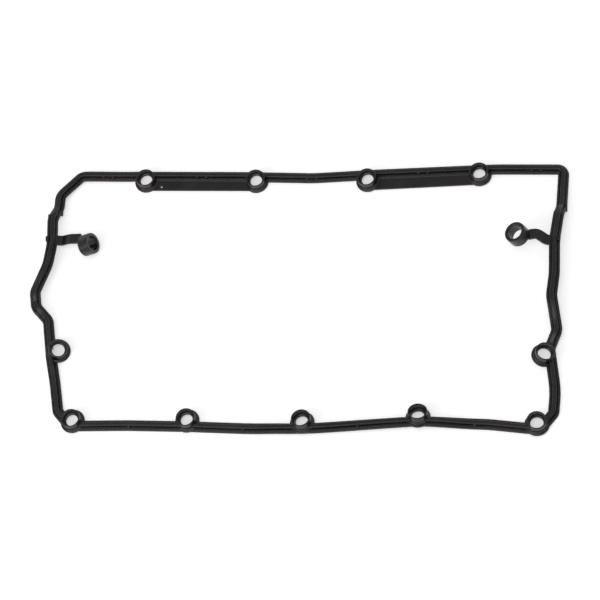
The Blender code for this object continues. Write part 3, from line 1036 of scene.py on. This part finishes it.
@dataclass(frozen=True)
class MouldedRubber:
    """Black nitrile rubber, compression moulded.

    The mould's fine blasted grain gives a satin sheen without mirror highlights. Handling and bloom leave
    it cloudy: some stretches a little greyer and duller, others darker and warmer. The real grain is too
    fine to show, so it is drawn coarser. A range is the part of a noise that a change spreads over.
    """

    name: str = "moulded_nitrile_rubber"
    black: str = "#0d0d0e"
    bloom: str = "#18181a"
    warm: str = "#1d1411"
    roughness: tuple[float, float] = (0.22, 0.36)
    specular: float = 0.5
    grain_mm: float = 0.7
    grain_depth_mm: float = 0.03
    cloud_mm: float = 14.0
    bloom_range: tuple[float, float] = (0.40, 0.68)
    dull_range: tuple[float, float] = (0.3, 0.7)
    tint_mm: float = 60.0
    warm_range: tuple[float, float] = (0.50, 0.68)
    most_warm: float = 0.8
    sag_mm: float = 5.0
    sag_depth_mm: float = 0.10
    edge_softness_mm: float = 0.45
    edge_samples: int = 6

    def material(self) -> bpy.types.Material:
        """Builds the rubber's nodes.

        Returns:
            The material.
        """
        material = bpy.data.materials.new(self.name)
        tree = emptied_tree(material)
        place = add_node(tree, "ShaderNodeTexCoord").outputs["Object"]

        def noise(size_mm: float, detail: float, roughness: float = 0.5) -> bpy.types.NodeSocket:
            """Adds a noise over the piece.

            Args:
                size_mm: About how large its features are, in millimetres.
                detail: How many finer layers it has.
                roughness: How strong those layers are.

            Returns:
                The noise's value.
            """
            node = add_node(tree, "ShaderNodeTexNoise", {"noise_dimensions": "3D"},
                            {"Vector": place, "Scale": 1.0 / (size_mm * MM), "Detail": detail,
                             "Roughness": roughness})
            return node.outputs["Fac"]

        def spread(value: bpy.types.NodeSocket, part: tuple[float, float],
                   to: tuple[float, float]) -> bpy.types.NodeSocket:
            """Stretches part of a noise over a new range.

            Args:
                value: The noise.
                part: The part of it that is stretched.
                to: The new range.

            Returns:
                The stretched value.
            """
            node = add_node(tree, "ShaderNodeMapRange", {"clamp": True},
                            {"Value": value, "From Min": part[0], "From Max": part[1],
                             "To Min": to[0], "To Max": to[1]})
            return node.outputs["Result"]

        cloud = noise(self.cloud_mm, detail=5.0, roughness=0.6)
        tint = noise(self.tint_mm, detail=1.0)
        grain = noise(self.grain_mm, detail=3.0, roughness=0.55)
        sag = noise(self.sag_mm, detail=1.5)
        clouded = add_node(tree, "ShaderNodeMix", {"data_type": "RGBA"},
                           {"Factor": spread(cloud, self.bloom_range, (0.0, 1.0)),
                            MIX_FIRST: linear_colour(self.black), MIX_SECOND: linear_colour(self.bloom)})
        warmed = add_node(tree, "ShaderNodeMix", {"data_type": "RGBA"},
                          {"Factor": spread(tint, self.warm_range, (0.0, self.most_warm)),
                           MIX_FIRST: clouded.outputs[MIX_RESULT], MIX_SECOND: linear_colour(self.warm)})
        soft = add_node(tree, "ShaderNodeBevel", {"samples": self.edge_samples},
                        {"Radius": self.edge_softness_mm * MM})
        dips = add_node(tree, "ShaderNodeBump", None,
                        {"Strength": 1.0, "Distance": self.sag_depth_mm * MM, "Height": sag,
                         "Normal": soft.outputs["Normal"]})
        fine = add_node(tree, "ShaderNodeBump", None,
                        {"Strength": 1.0, "Distance": self.grain_depth_mm * MM, "Height": grain,
                         "Normal": dips.outputs["Normal"]})
        shader = add_node(tree, "ShaderNodeBsdfPrincipled", None,
                          {"Base Color": warmed.outputs[MIX_RESULT],
                           "Roughness": spread(cloud, self.dull_range, self.roughness),
                           "Specular IOR Level": self.specular, "Metallic": 0.0,
                           "Normal": fine.outputs["Normal"]})
        add_node(tree, "ShaderNodeOutputMaterial", None, {"Surface": shader.outputs["BSDF"]})
        return material


@dataclass(frozen=True)
class StudioPaper:
    """Matt white paper: it keeps the shadow and reads as plain white where it is unshaded."""

    name: str = "matt_white_paper"
    colour: str = "#e6e6e6"
    glow: float = 0.45

    def material(self) -> bpy.types.Material:
        """Builds the paper: a matt white that also glows a little where it is seen or mirrored."""
        material = bpy.data.materials.new(self.name)
        tree = emptied_tree(material)
        strength = add_node(tree, "ShaderNodeMath", {"operation": "MULTIPLY"},
                            {0: seen_directly(tree), 1: self.glow})
        matt = add_node(tree, "ShaderNodeBsdfDiffuse", None, {"Color": linear_colour(self.colour)})
        glow = add_node(tree, "ShaderNodeEmission", None, {"Strength": strength.outputs[0]})
        both = add_node(tree, "ShaderNodeAddShader", None, {0: matt.outputs[0], 1: glow.outputs[0]})
        add_node(tree, "ShaderNodeOutputMaterial", None, {"Surface": both.outputs[0]})
        return material


# The gasket.


@dataclass
class Gasket:
    """The whole moulding: every form joined into one closed surface."""

    pattern: BoltPattern = field(default_factory=BoltPattern)
    eyelet: BoltEyelet = field(default_factory=BoltEyelet)
    web: Web = field(default_factory=Web)
    finish: MouldedRubber = field(default_factory=MouldedRubber)
    sharp_angle: float = 32.0
    normal_weight: int = 60

    def __post_init__(self) -> None:
        """Places the parts that share the bolt table."""
        self.bolts = self.pattern.table()
        self.strip = SealStrip(self.bolts)
        self.marks = StripMarks(self.strip, self.bolts)
        self.arms = [
            GrommetArm(self.bolts["back_1"], root=(-69.6, -52.65, 8.0),
                       bends=((0.18, 0.2, 6.4), (0.33, 0.4, 6.2), (0.48, 0.4, 8.2), (0.62, 0.25, 10.0),
                              (0.81, 0.05, 11.2)),
                       tip=(-2.4, 4.3, 4.1), base=(-44.3, -58.15, 7.9), axis=(0.885, 0.045, 0.462)),
            GrommetArm(self.bolts["back_4"], root=(58.5, -58.15, 7.6),
                       bends=((0.2, -0.75, 7.2), (0.35, -0.5, 8.0), (0.5, 0.45, 10.4), (0.65, 1.2, 12.2),
                              (0.8, 0.95, 12.6)),
                       tip=(6.2, 0.3, 2.0), base=(32.3, -56.75, 10.0), axis=(-0.42, 0.05, 0.905)),
        ]

    def _guide(self, name: str, shape: Shape) -> bpy.types.Object:
        """Makes an object of a form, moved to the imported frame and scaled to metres.

        Args:
            name: The form's name.
            shape: The form in millimetres.

        Returns:
            The object.
        """
        bmesh.ops.translate(shape, vec=FRAME_SHIFT, verts=shape.verts)
        bmesh.ops.scale(shape, vec=(MM, MM, MM), verts=shape.verts)
        return linked(name, as_mesh(name, shape))

    def _forms(self) -> list[tuple[str, str, Shape]]:
        """Lists what is joined to the strip and cut from it, in order."""
        seats = {name: bolt.matrix(self.eyelet.foot_radius) for name, bolt in self.bolts.items()}
        webs = [self.web.plate(self.bolts["back_1"], self.bolts["back_2"]),
                self.web.plate(self.bolts["back_3"], self.bolts["back_4"])]
        cuts = [placed(self.eyelet.bore(self.bolts[name].has_wide_hole), seat)
                for name, seat in seats.items()]
        cuts += [arm.bore() for arm in self.arms]
        cuts.append(self.web.pinhole(self.bolts["back_1"]))
        small = self.marks.pips() + self.marks.locating_studs() + self.marks.step_ledges()
        return [
            ("webs_and_straps", "UNION", gathered(webs + [arm.strap() for arm in self.arms])),
            ("pips_studs_and_ledges", "UNION", gathered(small)),
            ("eyelets", "UNION", gathered(placed(self.eyelet.body(), seat) for seat in seats.values())),
            ("grommets", "UNION", gathered(arm.tube() for arm in self.arms)),
            ("bores", "DIFFERENCE", gathered(cuts)),
        ]

    def _join(self, base: bpy.types.Object, forms: list[bpy.types.Object],
              operations: list[str]) -> bpy.types.Mesh:
        """Joins and cuts the forms exactly and gives the finished mesh.

        Args:
            base: The strip.
            forms: The other forms.
            operations: What each of them does.

        Returns:
            The closed mesh.
        """
        for form, operation in zip(forms, operations):
            modifier = base.modifiers.new(form.name, "BOOLEAN")
            modifier.operation = operation
            modifier.solver = "EXACT"
            modifier.object = form
        bpy.context.view_layer.update()
        evaluated = base.evaluated_get(bpy.context.evaluated_depsgraph_get())
        mesh = bpy.data.meshes.new_from_object(evaluated)
        for item in [base, *forms]:
            bpy.data.objects.remove(item)
        return mesh

    def build(self) -> bpy.types.Object:
        """Makes the gasket's finished piece.

        Returns:
            The piece, with its place in its mesh.
        """
        strip = self._guide("strip", self.strip.shape())
        listed = self._forms()
        forms = [self._guide(name, shape) for name, _, shape in listed]
        mesh = self._join(strip, forms, [operation for _, operation, _ in listed])
        shape = bmesh.new()
        shape.from_mesh(mesh)
        bmesh.ops.remove_doubles(shape, verts=shape.verts, dist=JOINED_WELD)
        bmesh.ops.dissolve_degenerate(shape, edges=shape.edges[:], dist=JOINED_SLIVER)
        LOG.info("gasket: %d open edges", sum(1 for edge in shape.edges if len(edge.link_faces) != 2))
        bmesh.ops.triangulate(shape, faces=[face for face in shape.faces if len(face.verts) > 4])
        shape.to_mesh(mesh)
        shape.free()
        mesh.name = "gasket_rubber"
        mesh.materials.clear()
        mesh.materials.append(self.finish.material())
        mesh.shade_smooth()
        mesh.set_sharp_from_angle(angle=math.radians(self.sharp_angle))
        piece = linked("gasket_rubber", mesh)
        normals = piece.modifiers.new("even_shading", "WEIGHTED_NORMAL")
        normals.keep_sharp = True
        normals.weight = self.normal_weight
        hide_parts(NODE)
        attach(piece, BODY)
        LOG.info("gasket: %d faces", len(mesh.polygons))
        return piece


# The studio.


@dataclass
class Lamp:
    """A soft square lamp, placed by the direction and distance from the gasket."""

    name: str
    direction: tuple[float, float, float]
    distance: float
    size: float
    power: float
    colour: str = "#ffffff"

    def build(self) -> bpy.types.Object:
        """Makes the lamp, aimed at the gasket's middle."""
        data = bpy.data.lights.new(self.name, "AREA")
        data.size = self.size
        data.energy = self.power
        data.color = linear_colour(self.colour)[:3]
        item = linked(self.name, data)
        away = Vector(self.direction).normalized()
        item.location = away * self.distance
        item.rotation_euler = away.to_track_quat("Z", "Y").to_euler()
        return item


@dataclass
class Studio:
    """A white table in a white-walled room with a dimmer ceiling, under soft lamps.

    The low white wall is what the camera sees behind the table and what the upright rubber walls mirror.
    """

    paper: StudioPaper = field(default_factory=StudioPaper)
    floor_size: float = 8.0
    wall: str = "#ffffff"
    ceiling: str = "#afb1b4"
    wall_top: float = 0.12
    ceiling_from: float = 0.5
    lamps: tuple[Lamp, ...] = (
        Lamp("key_lamp", (-0.58, -0.58, 0.57), 2.0, 0.9, 12.0, "#fff6ec"),
        Lamp("top_lamp", (-0.15, -0.2, 1.0), 2.0, 1.2, 8.0),
        Lamp("rim_lamp", (0.45, 0.7, 0.57), 2.0, 0.9, 3.0, "#fff6ec"),
    )

    def build(self) -> bpy.types.Object:
        """Makes the floor, the lamps and the world.

        Returns:
            The floor.
        """
        shape = bmesh.new()
        bmesh.ops.create_grid(shape, x_segments=1, y_segments=1, size=self.floor_size / 2)
        mesh = as_mesh("studio_floor", shape)
        mesh.materials.append(self.paper.material())
        floor = linked("studio_floor", mesh)
        floor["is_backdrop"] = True
        for lamp in self.lamps:
            lamp.build()
            LOG.info("studio: %s", lamp.name)
        world = bpy.data.worlds.new("soft_studio")
        bpy.context.scene.world = world
        tree = emptied_tree(world)
        outward = add_node(tree, "ShaderNodeTexCoord").outputs["Generated"]
        height = add_node(tree, "ShaderNodeSeparateXYZ", None, {"Vector": outward}).outputs["Z"]
        share = add_node(tree, "ShaderNodeMapRange", {"clamp": True, "interpolation_type": "SMOOTHSTEP"},
                         {"Value": height, "From Min": self.wall_top, "From Max": self.ceiling_from})
        colour = add_node(tree, "ShaderNodeMix", {"data_type": "RGBA"},
                          {"Factor": share.outputs["Result"], MIX_FIRST: linear_colour(self.wall),
                           MIX_SECOND: linear_colour(self.ceiling)})
        light = add_node(tree, "ShaderNodeBackground", None,
                         {"Color": colour.outputs[MIX_RESULT], "Strength": 1.0})
        add_node(tree, "ShaderNodeOutputWorld", None, {"Surface": light.outputs[0]})
        return floor


@dataclass
class PhotoCamera:
    """The camera of the photograph, worked out from the bolt rows."""

    target: tuple[float, float, float] = (-6.0, 98.9, 0.0)
    elevation: float = 65.0
    azimuth: float = 20.1
    roll: float = -18.9
    distance: float = 1898.0
    focal_pixels: float = 2480.0
    frame_pixels: float = 600.0
    sensor_width: float = 36.0
    farthest: float = 20.0

    def build(self) -> bpy.types.Object:
        """Makes the camera and gives it to the scene.

        Returns:
            The camera.
        """
        e, a, r = (math.radians(value) for value in (self.elevation, self.azimuth, self.roll))
        back = Vector((math.sin(a) * math.cos(e), -math.cos(a) * math.cos(e), math.sin(e)))
        level_right = Vector((math.cos(a), math.sin(a), 0.0))
        level_up = back.cross(level_right)
        right = level_right * math.cos(r) + level_up * math.sin(r)
        up = level_up * math.cos(r) - level_right * math.sin(r)
        place = (Vector(self.target) + FRAME_SHIFT + back * self.distance) * MM
        data = bpy.data.cameras.new("photo_camera")
        data.sensor_width = self.sensor_width
        data.lens = self.focal_pixels / self.frame_pixels * data.sensor_width
        data.clip_end = self.farthest
        camera = linked("photo_camera", data)
        camera.matrix_world = from_columns(right, up, back, place)
        bpy.context.scene.camera = camera
        return camera


def plain_bounds() -> list[list[float]]:
    """Gives the object's box as plain lists."""
    return [[float(value) for value in corner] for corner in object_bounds()]


def main() -> None:
    """Builds the dressed gasket, its studio and its camera."""
    logging.basicConfig(level=logging.INFO, format="%(name)s: %(message)s")
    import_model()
    bpy.context.scene.view_settings.view_transform = "Standard"
    Gasket().build()
    Studio().build()
    PhotoCamera().build()
    LOG.info("sizes: %s", plain_bounds())


if __name__ == "__main__":
    main()
